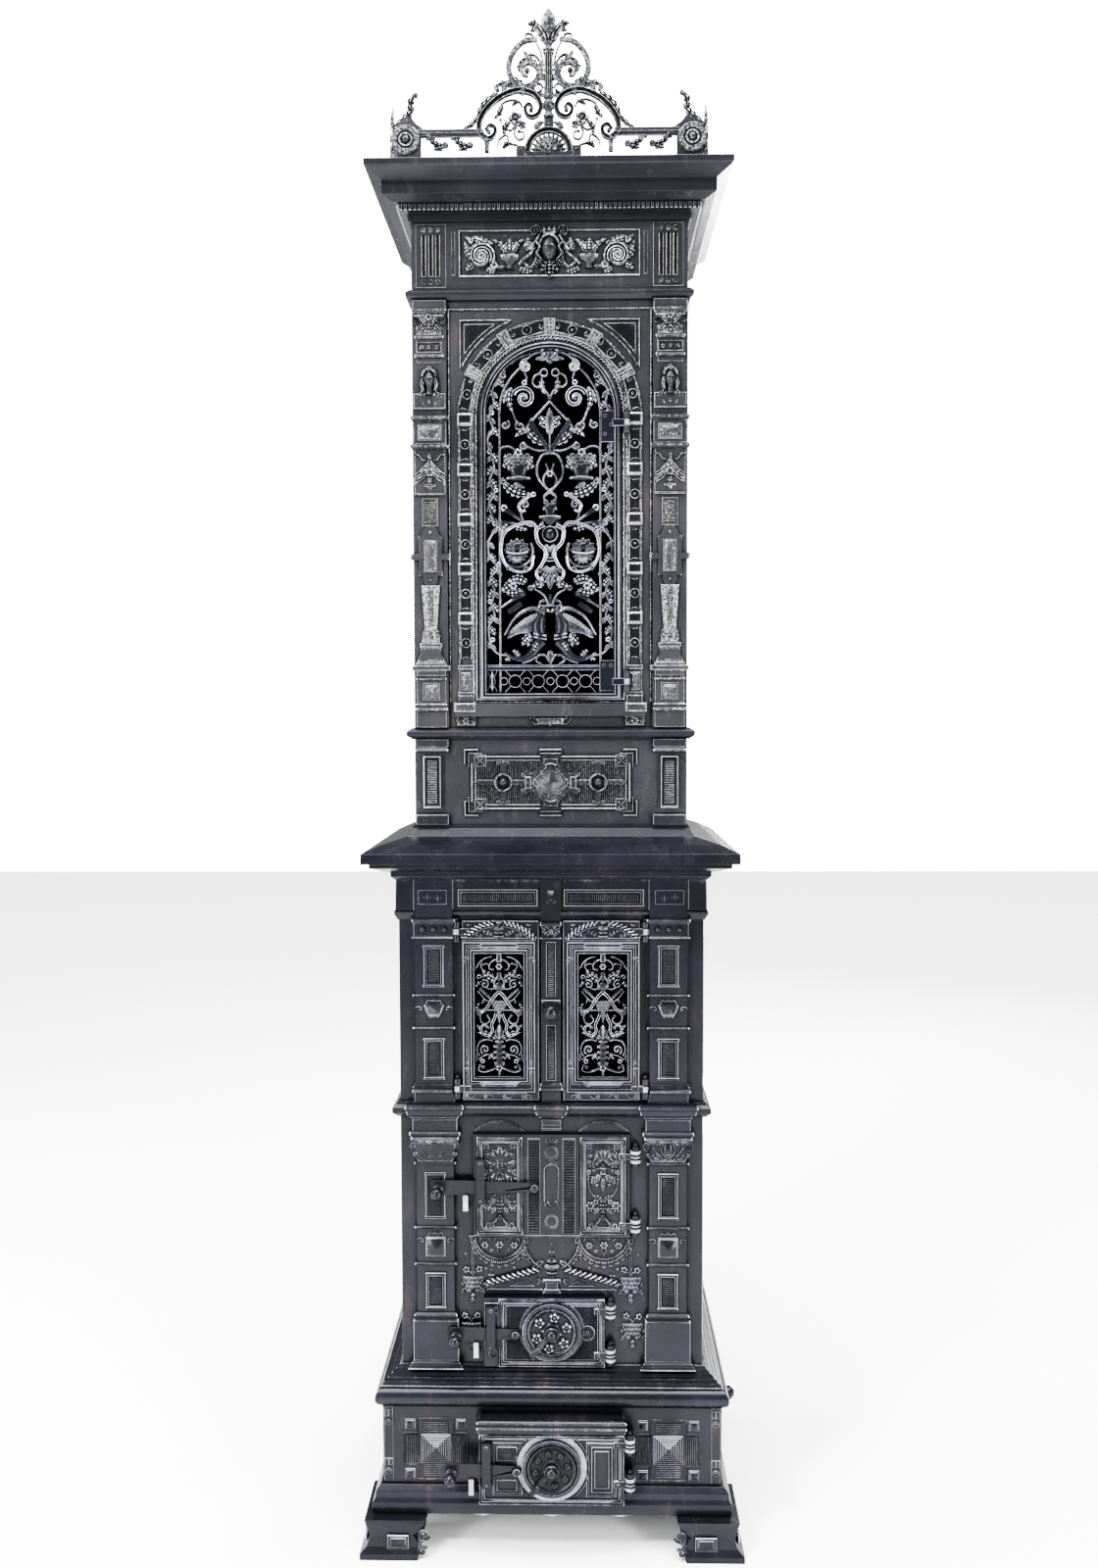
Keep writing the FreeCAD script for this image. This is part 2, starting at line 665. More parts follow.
def make_feet():
    """Flared bracket feet, one solid each, hollowed towards the middle."""
    toe = s.base_half + s.foot_flare
    wide, tall = s.foot_wide, s.foot_tall
    bracket = [(toe - wide, 0), (toe, 0), (toe, tall * 0.15), (toe - wide * 0.11, tall * 0.3),
               (toe - wide * 0.17, tall * 0.55), (toe - wide * 0.08, tall), (toe - wide * 1.15, tall),
               (toe - wide * 1.04, tall * 0.7), (toe - wide * 0.91, tall * 0.58),
               (toe - wide * 1.07, tall * 0.35)]
    for end, sign, toe_y, deep in (("front", -1, s.base_front + s.foot_front_flare, s.foot_front_deep),
                                   ("rear", 1, s.back_plane + s.foot_back_flare, s.foot_back_deep)):
        heel_y = toe_y - deep
        flank = [(heel_y, 0), (toe_y, 0), (toe_y, tall * 0.15), (toe_y - wide * 0.07, tall * 0.3),
                 (toe_y - wide * 0.1, tall * 0.55), (toe_y - wide * 0.05, tall),
                 (heel_y - wide * 0.15, tall), (heel_y - wide * 0.04, tall * 0.7)]
        if sign < 0:
            flank = turned_over(flank)
        for side in ("left", "right"):
            name = "foot_%s_%s" % (end, side)
            outline = bracket if side == "right" else turned_over(bracket)
            face = padded(name + "_face", "xz", [outline], s.back_plane * 2, s.back_plane * 4)
            side_shape = padded(name + "_flank", "yz", [flank], -toe * 2, toe * 4)
            node(name, common(name, face, side_shape))


def make_plinth():
    """Moulded plinth with the ash box floor cast in."""
    reach, tall = s.plinth_reach, s.plinth_tall
    steps = [(reach * 0.88, plinth_low), (reach, plinth_low + tall * 0.23), (reach, base_low - tall * 0.56),
             (reach * 0.75, base_low - tall * 0.42), (reach * 0.69, base_low - tall * 0.19),
             (reach * 0.25, base_low)]
    solid = moulding("plinth_tray", s.base_half, s.base_front, steps)
    inside = s.base_half - s.wall
    under = block("plinth_under", (-inside, s.wall - s.base_front, plinth_low - s.overcut),
                  (inside, s.back_plane - s.wall, base_low - s.wall))
    holes = tie_rod_bars("plinth_rod_hole", s.rod_radius, plinth_low, base_low + s.overcut)
    tray = cut("plinth_hollowed", solid, [under] + holes)
    rails = []
    for side in (-1, 1):
        middle = s.pan_half * (0.8 * side)
        rails.append(block("pan_rail_%d" % side, (middle - s.wall, s.wall - s.base_front, base_low),
                           (middle + s.wall, s.pan_back, base_low + s.wall)))
    node("plinth_tray", fuse("plinth_tray", [tray] + rails))


def make_base():
    """Ash box walls, with the ash door's frame and hood on the front one."""
    opening_half = s.ash_door_half - s.door_lap * 2
    low = base_low + s.wall
    high = ash_door_top - s.door_lap
    hole = rectangle(-opening_half, opening_half, low, high)
    plate = front_plate("base_plate", s.base_half, s.base_front, base_low, lip_low, [hole])
    frame_half = s.ash_door_half - s.door_lap / 2
    frame_outline = rectangle(-frame_half, frame_half, base_low + 0.5, ash_door_top - 2)
    frame = padded("ash_door_frame", "xz", [frame_outline, hole], -s.base_front,
                   -ash_door_back - s.base_front)
    hood_low = ash_door_top + s.ash_hood_gap
    hood = block("ash_hood", (-s.ash_door_half, ash_door_back - s.door_thick - s.ash_hood_proud, hood_low),
                 (s.ash_door_half, -s.base_front, hood_low + s.ash_hood_tall))
    whole = fuse("base_front_cast", [plate, frame, hood] + ash_hinge.lugs())
    node("base_front", cut("base_front", whole, ash_hinge.lug_holes()))
    side_and_back_plates("base", s.base_half, s.base_front, base_low, lip_low)
    start = (s.base_half - s.wall - s.overcut, -s.shaker_front, lip_low - s.shaker_drop)
    rod_hole = rod("shaker_hole", start, s.shaker_radius + s.pin_gap, s.wall + s.overcut * 2, "+x")
    plain = nodes["base_right"]
    plain.Label = "base_right_plate"
    node("base_right", cut("base_right_bored", plain, [rod_hole]))


def make_lip():
    """Round lip and stepped skirt that carry the firebox."""
    skirt = s.skirt_tall
    out = s.body_setback
    steps = [bend((out * 0.93, lip_low), "a", out * 0.9, 1), (out * 0.93, roll_top),
             (out * 0.8, roll_top), (out * 0.66, roll_top + skirt * 0.3),
             (out * 0.48, roll_top + skirt * 0.35), (out * 0.2, roll_top + skirt * 0.75),
             (out * 0.2, firebox_low)]
    node("lip_frame", ring("lip_frame", body_half, body_front, steps, body_half, body_front))


# ---------------------------------------------------------------- firebox tier

def door_opening(half, low, high):
    return rectangle(s.door_lap - half, half - s.door_lap, low + s.door_lap, high - s.door_lap)


def make_firebox():
    """Firebox walls with the fire and fuel openings and the pilasters."""
    fire_hole = door_opening(s.fire_door_half, fire_door_low, fire_door_top)
    fuel_hole = door_opening(s.fuel_door_half, fuel_door_low, fuel_door_top)
    plate = front_plate("firebox_plate", body_half, body_front, firebox_low, band_low,
                        [fire_hole, fuel_hole])
    rim_half = s.fire_door_half - s.door_lap / 2
    rim_low = fire_door_low + s.door_lap / 2
    rim_high = fire_door_top - s.door_lap / 2
    rim = padded("fire_door_rim", "xz", [rectangle(-rim_half, rim_half, rim_low, rim_high), fire_hole],
                 -body_front, -fire_door_back - body_front)
    lugs = fire_hinge.lugs() + fuel_hinge.lugs()
    whole = fuse("firebox_front_cast", [plate, rim] + pilasters("firebox", firebox_low, band_low) + lugs)
    holes = fire_hinge.lug_holes() + fuel_hinge.lug_holes()
    node("firebox_front", cut("firebox_front", whole, holes))
    side_and_back_plates("firebox", body_half, body_front, firebox_low, band_low)


def pilasters(tier, low, high):
    """Flat pilasters near both ends of a front plate."""
    outer = body_half - s.pilaster_inset
    inner = right_oven_hinge.x + s.knuckle_radius + s.seat_gap * 2
    proud = body_front + s.pilaster_proud
    return [block("%s_pilaster_left" % tier, (-outer, -proud, low), (-inner, -body_front, high)),
            block("%s_pilaster_right" % tier, (inner, -proud, low), (outer, -body_front, high))]


def make_band():
    reach, tall = s.band_reach, s.middle_band_tall
    steps = [(reach * 0.33, band_low), (reach, band_low + tall * 0.3), (reach, band_low + tall * 0.62),
             (reach * 0.5, band_low + tall * 0.83), (reach * 0.33, oven_low)]
    node("middle_band", ring("middle_band", body_half, body_front, steps,
                             body_half, body_front))


def make_bricks():
    """Four firebrick slabs that stand on the grate frame or hang on the front plate."""
    low = firebox_low + s.grate_thick
    high = low + s.brick_tall
    inside = body_half - s.wall
    front_face = s.wall - body_front
    back_face = s.back_plane - s.wall
    short = rod_x - s.rod_radius - s.brick_gap
    left = block("brick_left", (-inside, front_face, low), (s.brick_thick - inside, back_face, high))
    right = block("brick_right", (inside - s.brick_thick, front_face, low), (inside, back_face, high))
    back = block("brick_back", (-short, back_face - s.brick_thick, low), (short, back_face, high))
    front = block("brick_front", (-short, front_face, fire_door_top),
                  (short, front_face + s.brick_thick, fuel_door_low))
    node("firebricks", group("firebricks", [left, right, back, front]))


def make_grate():
    """Grate frame, sliding grate with its drop lug, and shaker rod with its knob."""
    inside = body_half - s.wall
    low = firebox_low
    high = firebox_low + s.grate_thick
    plate = block("grate_plate", (-inside, s.wall - body_front, low),
                  (inside, s.back_plane - s.wall, high))
    shoulder = low + s.grate_thick / 2
    far = s.grate_half + s.grate_travel
    seat = block("grate_seat", (-s.grate_half - s.grate_play, -s.grate_deep_half - s.grate_play, shoulder),
                 (far + s.grate_play, s.grate_deep_half + s.grate_play, high + s.overcut))
    drop_y = s.grate_rim - s.grate_deep_half
    drop = block("grate_drop", (s.grate_rim / 2 - s.grate_half, drop_y, low - s.overcut),
                 (far - s.grate_rim / 2, s.grate_deep_half - s.grate_rim, high))
    rod_holes = tie_rod_bars("grate_rod_hole", s.rod_radius + s.overcut, low - s.overcut, high + s.overcut)
    eye_half = s.shaker_radius + s.lug_wall
    slot_y = -s.shaker_front - eye_half - s.grate_play
    slot = block("lug_slot", (s.grate_half - s.grate_rim * 4, slot_y, low - s.overcut),
                 (far + s.grate_play, s.grate_rim - s.grate_deep_half + s.grate_play, high + s.overcut))
    node("grate_frame", cut("grate_frame", plate, [seat, drop, slot] + rod_holes))

    bed_top = high + s.grate_proud
    bed = block("grate_bed", (-s.grate_half, -s.grate_deep_half, shoulder + s.seat_gap),
                (s.grate_half, s.grate_deep_half, bed_top))
    gaps = []
    pitch = (s.grate_half * 2 - s.grate_rim) / GRATE_BARS
    for number in range(GRATE_BARS):
        start = s.grate_rim - s.grate_half + pitch * number
        finish = start + pitch - s.grate_bar_wide
        gaps.append(block("grate_gap_%d" % number, (start, drop_y, low - s.overcut),
                          (finish, -drop_y, bed_top + s.overcut)))
    bars = cut("grate_bars", bed, gaps)
    rod_z = lip_low - s.shaker_drop
    lug_x = s.grate_half - s.grate_rim * 3
    lug = block("grate_lug", (lug_x, -s.shaker_front - eye_half, rod_z - eye_half),
                (lug_x + s.lug_thick, s.overcut - s.grate_deep_half, bed_top))
    lugged = fuse("grate_lugged", [bars, lug])
    eye = rod("grate_eye", (lug_x - s.overcut, -s.shaker_front, rod_z), s.shaker_radius,
              s.lug_thick + s.overcut * 2, "+x")
    node("shaking_grate", cut("shaking_grate", lugged, [eye]))

    reach = s.base_half + s.shaker_reach - lug_x
    slope = s.shaker_knob_radius * 0.55
    corners = [(0, 0), (s.shaker_radius, 0), (s.shaker_radius, reach), (s.shaker_knob_radius, reach + slope),
               (s.shaker_knob_radius, reach + slope * 2), (s.shaker_radius, reach + slope * 3),
               (0, reach + slope * 3)]
    node("shaker_rod", turned("shaker_rod", corners, (lug_x, -s.shaker_front, rod_z), "+x"))


def make_baffle():
    """Plate above the fire that sends the smoke forward; it lies on the side bricks."""
    low = firebox_low + s.grate_thick + s.brick_tall
    half = body_half - s.wall - s.grate_play
    plate = block("baffle_plate", (-half, s.baffle_gap - body_front, low),
                  (half, s.back_plane - s.wall, low + s.wall))
    holes = tie_rod_bars("baffle_rod_hole", s.rod_radius + s.overcut, low - s.overcut,
                         low + s.wall + s.overcut)
    node("fire_baffle", cut("fire_baffle", plate, holes))


def make_ash_pan():
    low = base_low + s.wall + s.seat_gap
    outer = block("pan_outer", (-s.pan_half, -s.pan_front, low), (s.pan_half, s.pan_back, low + s.pan_tall))
    inner = block("pan_inner", (s.pan_wall - s.pan_half, s.pan_wall - s.pan_front, low + s.pan_wall),
                  (s.pan_half - s.pan_wall, s.pan_back - s.pan_wall, low + s.pan_tall + s.overcut))
    tray = cut("pan_tray", outer, [inner])
    grip_low, grip_high = low + s.pan_grip_rise, low + s.pan_grip_rise + s.pan_grip_tall
    inside = s.pan_grip_half - s.wall
    grip = block("pan_grip", (-s.pan_grip_half, -s.pan_front - s.pan_grip_reach, grip_low),
                 (s.pan_grip_half, -s.pan_front, grip_high))
    finger = block("pan_finger", (-inside, s.wall - s.pan_front - s.pan_grip_reach, grip_low - s.overcut),
                   (inside, -s.pan_front, grip_high + s.overcut))
    bow = cut("pan_bow", grip, [finger])
    node("ash_pan", fuse("ash_pan", [tray, bow]))


# ---------------------------------------------------------------- plain doors and latches

class LatchedDoor:
    """A plain door on the right-hand hinges with a lever latch on its left side."""

    def __init__(self, name, left, right, low, high, back, hinge, wall_y, reach, tail):
        self.name = name
        self.left = left
        self.right = right
        self.low = low
        self.high = high
        self.back = back
        self.face = back - s.door_thick
        self.hinge = hinge
        self.wall_y = wall_y
        self.pivot_z = (low + high) / 2
        self.keeper_x = left - s.keeper_offset
        self.pivot_x = self.keeper_x + reach
        self.grip_x = self.keeper_x - tail
        self.lever_y = self.face - s.lever_stand_off
        self.lever_face = self.lever_y - s.lever_thick

    def plate(self):
        outline = rectangle(self.left, self.right, self.low, self.high)
        return padded(self.name + "_plate", "xz", [outline], self.back, s.door_thick)

    def strap(self):
        """Guide strap: two feet and a bridge that the lever swings behind."""
        left = self.left + s.strap_inset
        right = left + s.strap_wide
        low = self.pivot_z - s.strap_tall * 0.36
        high = low + s.strap_tall
        bridge_y = self.lever_face - s.strap_gap
        foot = s.strap_tall * 0.1
        return [block(self.name + "_strap_low", (left, bridge_y, low), (right, self.face, low + foot)),
                block(self.name + "_strap_high", (left, bridge_y, high - foot), (right, self.face, high)),
                block(self.name + "_strap_bridge", (left, bridge_y - s.strap_thick, low),
                      (right, bridge_y, high))]

    def stud(self):
        """Stepped pivot stud: shoulder, bearing and head."""
        point = (self.pivot_x, self.face, self.pivot_z)
        head_radius = s.lever_pin_radius * 1.5
        shoulder = rod(self.name + "_stud_shoulder", point, head_radius,
                       s.lever_stand_off - s.seat_gap, "-y")
        shank = rod(self.name + "_stud", point, s.lever_pin_radius,
                    s.lever_stand_off + s.lever_thick + s.seat_gap * 2, "-y")
        head = rod(self.name + "_stud_head", (self.pivot_x, self.lever_face - s.seat_gap, self.pivot_z),
                   head_radius, s.strap_thick, "-y")
        return [shoulder, shank, head]

    def lever(self):
        """Flat lever: a round eye at the pivot, a widening arm and a dropped tail."""
        eye = s.lever_pin_radius * 1.9
        deep = s.lever_deep
        top = self.pivot_z + deep * 0.5
        low = self.pivot_z - deep * 0.5
        tail_low = low - deep * 0.14
        end = self.grip_x - s.grip_radius
        outline = [bend((self.pivot_x, self.pivot_z - eye), "a", self.pivot_x, 1),
                   (self.pivot_x, self.pivot_z + eye), (self.keeper_x, top), (end, top),
                   (end, tail_low), (self.grip_x + s.grip_radius, tail_low),
                   (self.keeper_x - s.keeper_wide / 2, low), (self.keeper_x + s.lever_deep, low)]
        arm = padded(self.name + "_arm", "xz", [outline], self.lever_y, s.lever_thick)
        bore = rod(self.name + "_arm_bore", (self.pivot_x, self.lever_y + s.overcut, self.pivot_z),
                   s.lever_pin_radius + s.pin_gap, s.lever_thick + s.overcut * 2, "-y")
        return cut(self.name + "_lever", arm, [bore])

    def grip(self):
        """Turned grip on the lever's tail."""
        radius = s.grip_radius
        ball_start = radius * 1.2
        corners = [(0, 0), (radius * 0.9, 0), (radius * 0.9, radius * 0.3), (radius * 0.5, radius * 0.5),
                   (radius * 0.5, radius * 0.9), bend((radius * 0.6, ball_start), "a", 0, 1),
                   (0, radius * 1.8 + ball_start)]
        point = (self.grip_x, self.lever_face, self.pivot_z - radius * 0.4)
        return turned(self.name + "_grip", corners, point, "-y")

    def keeper(self):
        """Hook on the wall: a foot that reaches out and a tip just below the lever."""
        left = self.keeper_x - s.keeper_wide / 2
        right = left + s.keeper_wide
        tip_y = self.lever_face - s.keeper_gap
        tip_top = self.pivot_z - s.lever_deep / 2 - s.keeper_gap
        foot_low = tip_top - s.keeper_tall
        tip_face = tip_y - s.keeper_thick
        foot = block(self.name + "_keeper_foot", (left, tip_face, foot_low),
                     (right, self.wall_y, foot_low + s.keeper_wide))
        tip = block(self.name + "_keeper_tip", (left, tip_face, foot_low), (right, tip_y, tip_top))
        return fuse(self.name + "_keeper", [foot, tip])

    def build(self, extra=(), bores=()):
        pieces = [self.plate()] + self.strap() + self.stud()
        pieces += self.hinge.knuckles(s.hinge_offset + s.leaf_reach)
        whole = fuse(self.name + "_door_cast", pieces + list(extra))
        node(self.name + "_door", cut(self.name + "_door", whole, self.hinge.knuckle_holes() + list(bores)))
        node(self.name + "_latch_lever", self.lever())
        node(self.name + "_latch_grip", self.grip())


def port_bars(name, start_y, centre_z, length):
    """Air port cutters on a circle, running back from where they start."""
    bars = []
    for number in range(PORTS):
        angle = 2 * math.pi * number / PORTS
        x = s.port_circle * math.cos(angle)
        z = centre_z + s.port_circle * math.sin(angle)
        bars.append(rod("%s_%d" % (name, number), (x, start_y, z), s.port_radius, length, "+y"))
    return bars


def make_valve(door, centre_z):
    """Round air valve: collar, ports and spindle on the door, and the turning disc."""
    collar = rod(door.name + "_collar", (0, door.face, centre_z), s.collar_radius, s.collar_tall, "-y")
    seat_y = door.face - s.collar_floor
    dish = rod(door.name + "_collar_dish", (0, seat_y, centre_z), s.valve_radius + s.valve_play,
               s.collar_tall, "-y")
    dished = cut(door.name + "_collar_ring", collar, [dish])
    disc_back = seat_y - s.seat_gap
    disc_front = disc_back - s.valve_thick
    spindle = rod(door.name + "_spindle", (0, door.face, centre_z), s.spindle_radius,
                  s.valve_thick + s.collar_floor + s.seat_gap * 2, "-y")
    cap = rod(door.name + "_spindle_cap", (0, disc_front - s.seat_gap, centre_z),
              s.spindle_radius * 2, s.spindle_radius, "-y")
    ports = port_bars(door.name + "_port", seat_y - s.overcut, centre_z,
                      s.door_thick + s.collar_floor + s.overcut * 2)

    disc = rod(door.name + "_disc", (0, disc_back, centre_z), s.valve_radius, s.valve_thick, "-y")
    bore = rod(door.name + "_disc_bore", (0, disc_back + s.overcut, centre_z),
               s.spindle_radius + s.pin_gap, s.valve_thick + s.overcut * 2, "-y")
    holes = port_bars(door.name + "_disc_hole", disc_front - s.overcut, centre_z,
                      s.valve_thick + s.overcut * 2)
    cosine, sine = direction(s.valve_tab_angle)
    near, far = s.spindle_radius * 2 + s.seat_gap, s.valve_radius + s.valve_tab_reach
    corners = []
    for run, side in ((near, s.valve_tab_wide / 2), (near, s.valve_tab_wide / -2),
                      (far, s.valve_tab_wide / -2), (far, s.valve_tab_wide / 2)):
        corners.append((run * cosine - side * sine, centre_z + run * sine + side * cosine))
    tab = padded(door.name + "_tab", "xz", [corners], disc_front, s.valve_tab_thick)
    plate = cut(door.name + "_disc_plate", fuse(door.name + "_disc_cast", [disc, tab]), [bore] + holes)
    node(door.name + "_air_valve", plate)
    return [dished, spindle, cap], ports


ash = LatchedDoor("ash", -s.ash_door_half, s.ash_door_half, ash_door_low, ash_door_top,
                  ash_door_back, ash_hinge, -s.base_front, s.ash_lever_reach, s.short_tail)
fire = LatchedDoor("fire", -(s.fire_door_half + s.fire_door_tab), s.fire_door_half, fire_door_low,
                   fire_door_top, fire_door_back, fire_hinge, -body_front, s.fire_lever_reach,
                   s.short_tail)
fuel = LatchedDoor("fuel", -s.fuel_door_half, s.fuel_door_half, fuel_door_low, fuel_door_top,
                   fuel_door_back, fuel_hinge, -body_front, s.fuel_lever_reach, s.long_tail)


def make_plain_doors():
    for door in (ash, fire):
        pieces, ports = make_valve(door, door.pivot_z + s.valve_lift)
        door.build(pieces, ports)
    fuel.build()
    node("latch_keepers", group("latch_keepers", [ash.keeper(), fire.keeper(), fuel.keeper()]))


# ---------------------------------------------------------------- oven tier

def make_oven():
    """Oven tier walls, with two door openings and the post between them."""
    inner = oven_door_inner + s.door_lap / 2
    outer = oven_door_outer - s.door_lap
    low = oven_door_low + s.door_lap
    high = oven_door_top - s.door_lap
    holes = [rectangle(-outer, -inner, low, high), rectangle(inner, outer, low, high)]
    plate = front_plate("oven_plate", body_half, body_front, oven_low, shelf_low, holes)
    post_y = -body_front - s.door_thick
    post = block("oven_post", (-s.mullion_half, post_y, oven_low), (s.mullion_half, -body_front, shelf_low))
    lugs = left_oven_hinge.lugs() + right_oven_hinge.lugs()
    whole = fuse("oven_front_cast", [plate, post] + pilasters("oven", oven_low, shelf_low) + lugs)
    knob_hole = rod("knob_hole", (0, post_y - s.overcut, oven_knob_z), s.spindle_radius + s.pin_gap,
                    s.door_thick + s.wall + s.overcut * 2, "+y")
    holes = left_oven_hinge.lug_holes() + right_oven_hinge.lug_holes() + [knob_hole]
    node("oven_front", cut("oven_front", whole, holes))
    side_and_back_plates("oven", body_half, body_front, oven_low, shelf_low)


oven_knob_z = (oven_door_low + oven_door_top) / 2


def grille_bars(name, left, right, low, high, back):
    """A plain lattice that stands for the cast tracery: three uprights and four rails."""
    bars = []
    half = s.bar_wide / 2
    front = back - s.grille_thick
    for number in range(3):
        middle = left + (right - left) * ((number + 1) / 4)
        bars.append(block("%s_upright_%d" % (name, number), (middle - half, front, low),
                          (middle + half, back, high)))
    for number in range(4):
        middle = low + (high - low) * ((number + 1) / 5)
        bars.append(block("%s_rail_%d" % (name, number), (left, front, middle - half),
                          (right, back, middle + half)))
    return bars


def make_oven_door(side, sign, hinge):
    """A door leaf with its grille, and the keeper that the latch bar turns in front of."""
    name = "oven_door_" + side

    def span(inner, outer):
        return (inner, outer) if sign > 0 else (-outer, -inner)

    left, right = span(oven_door_inner, oven_door_outer)
    margin = (s.oven_door_wide - s.grille_wide) / 2 + s.oven_grille_shift
    grille_left, grille_right = span(oven_door_inner + margin, oven_door_inner + margin + s.grille_wide)
    grille_low = oven_door_low + s.grille_rise
    grille_high = grille_low + s.grille_tall
    outline = rectangle(left, right, oven_door_low, oven_door_top)
    window = rectangle(grille_left, grille_right, grille_low, grille_high)
    leaf = padded(name + "_leaf", "xz", [outline, window], oven_door_back, s.door_thick)
    lattice_back = oven_door_back - s.grille_sink
    bars = grille_bars(name, grille_left, grille_right, grille_low, grille_high, lattice_back)
    whole = fuse(name + "_cast", [leaf] + bars + hinge.knuckles(s.hinge_offset + s.leaf_reach))
    node(name, cut(name, whole, hinge.knuckle_holes()))

    arm_left, arm_right = span(catch_reach, catch_reach + s.lever_thick)
    lip_left, lip_right = span(catch_reach - s.catch_hook, catch_reach)
    keeper_back = catch_front + s.lever_thick
    low, high = oven_knob_z - s.catch_half, oven_knob_z + s.catch_half
    arm = block(name + "_catch_arm", (arm_left, oven_door_back, low), (arm_right, keeper_back, high))
    lip = block(name + "_catch_lip", (lip_left, catch_front, low), (lip_right, keeper_back, high))
    node("oven_keeper_" + side, group("oven_keeper_" + side, [arm, lip]))


bar_back = s.wall - body_front + s.seat_gap + s.lever_thick
catch_reach = oven_door_inner + s.catch_inset
catch_front = bar_back + s.catch_play


def make_oven_doors():
    make_oven_door("left", -1, left_oven_hinge)
    make_oven_door("right", 1, right_oven_hinge)


def make_oven_knob():
    """Knob, shaft and the latch bar behind the post; the bar stands upright at rest."""
    post_face = body_front + s.door_thick
    front = s.grip_radius * 1.4
    neck = s.spindle_radius
    start = (0, bar_back, oven_knob_z)
    length_to_face = bar_back + post_face
    corners = [(0, 0), (neck, 0), (neck, length_to_face + neck), (front, length_to_face + neck),
               bend((front, length_to_face + neck * 2), "a", 0, 1), (0, length_to_face + neck * 2 + front)]
    node("oven_knob", turned("oven_knob", corners, start, "-y"))
    half_long = catch_reach - s.grate_play
    bar = block("latch_bar", (-neck, bar_back - s.lever_thick, oven_knob_z - half_long),
                (neck, bar_back, oven_knob_z + half_long))
    eye = rod("latch_eye", (0, bar_back, oven_knob_z), neck + s.lug_wall, s.lever_thick, "-y")
    bore = rod("latch_bore", (0, bar_back + s.overcut, oven_knob_z), neck,
               s.lever_thick + s.overcut * 2, "-y")
    node("oven_latch_bar", cut("oven_latch_bar", fuse("latch_bar_cast", [bar, eye]), [bore]))


def make_oven_box():
    """Inner oven, open at the front, seated on the middle band's level by its legs."""
    low = oven_low + s.sheet_wall
    high = oven_door_top + s.oven_hinge_inset
    inside = s.oven_box_half - s.sheet_wall
    front = s.wall - body_front + s.oven_box_setback
    outer = block("oven_box_outer", (-s.oven_box_half, front, low), (s.oven_box_half, s.oven_box_back, high))
    inner = block("oven_box_inner", (-inside, front - s.overcut, low + s.sheet_wall),
                  (inside, s.oven_box_back - s.sheet_wall, high - s.sheet_wall))
    shell = cut("oven_box_shell", outer, [inner])
    cheek_top = block("oven_cheek_top", (-s.oven_box_half, s.wall - body_front, high - s.sheet_wall),
                      (s.oven_box_half, front, high))
    cheek_low = block("oven_cheek_low", (-s.oven_box_half, s.wall - body_front, low),
                      (s.oven_box_half, front, low + s.sheet_wall))
    shelf_z = (low + high) / 2
    shelf = block("oven_shelf", (-inside, front + s.oven_box_setback, shelf_z),
                  (inside, s.oven_box_back - s.sheet_wall, shelf_z + s.sheet_wall))
    node("oven_box", fuse("oven_box", [shell, cheek_top, cheek_low, shelf]))


# ---------------------------------------------------------------- shelf and tower

def make_shelf():
    """Shelf cornice: under-steps, square lip and the sloping foot of the tower."""
    step = s.tower_setback
    tall, reach = s.shelf_tall, step + s.shelf_reach
    lip = shelf_low + tall * 0.345
    lip_top = shelf_low + tall * 0.535
    steps = [(step + s.shelf_reach * 0.08, shelf_low), (step + s.shelf_reach * 0.2, shelf_low + tall * 0.07),
             (step + s.shelf_reach * 0.2, shelf_low + tall * 0.14),
             (step + s.shelf_reach * 0.78, shelf_low + tall * 0.26), (step + s.shelf_reach * 0.78, lip),
             (reach, lip), (reach, lip_top), (step * 1.9, lip_top + tall * 0.14),
             (step * 0.46, lip_top + tall * 0.26), (step * 0.15, tower_low - tall * 0.05),
             (step * 0.15, tower_low)]
    solid = moulding("shelf_cornice", tower_half, tower_front, steps)
    upper = hollow("shelf_upper_space", tower_half, tower_front, lip, tower_low + s.overcut)
    lower = hollow("shelf_lower_space", tower_half + step / 2, tower_front, shelf_low - s.overcut,
                   lip + s.overcut)
    node("shelf_cornice", cut("shelf_cornice", solid, [upper, lower]))


def tube_tier(name, low, high, bores=()):
    """A four-sided tier cast in one piece, open at the top and the bottom."""
    outer = block(name + "_outer", (-tower_half, -tower_front, low), (tower_half, s.back_plane, high))
    inner = block(name + "_inner", (s.wall - tower_half, s.wall - tower_front, low - s.overcut),
                  (tower_half - s.wall, s.back_plane - s.wall, high + s.overcut))
    node(name, cut(name, outer, [inner] + list(bores)))


def string_course(name, low, tall, reach):
    """A thin moulding ring round the tower."""
    steps = [(reach * 0.3, low), (reach, low + tall * 0.32), (reach, low + tall * 0.7),
             (reach * 0.3, low + tall)]
    return ring(name, tower_half, tower_front, steps, tower_half, tower_front)


def make_string_courses():
    """The mouldings under and over the arch tier."""
    lower = string_course("lower_string", lower_string_low, s.lower_string_tall, s.lower_string_reach)
    upper = string_course("upper_string", upper_string_low, s.upper_string_tall, s.upper_string_reach)
    node("string_courses", group("string_courses", [lower, upper]))


def arch_outline(half, low, centre):
    """A round-headed outline."""
    return [(-half, low), (half, low), bend((half, centre), "b", centre, 1), (-half, centre)]


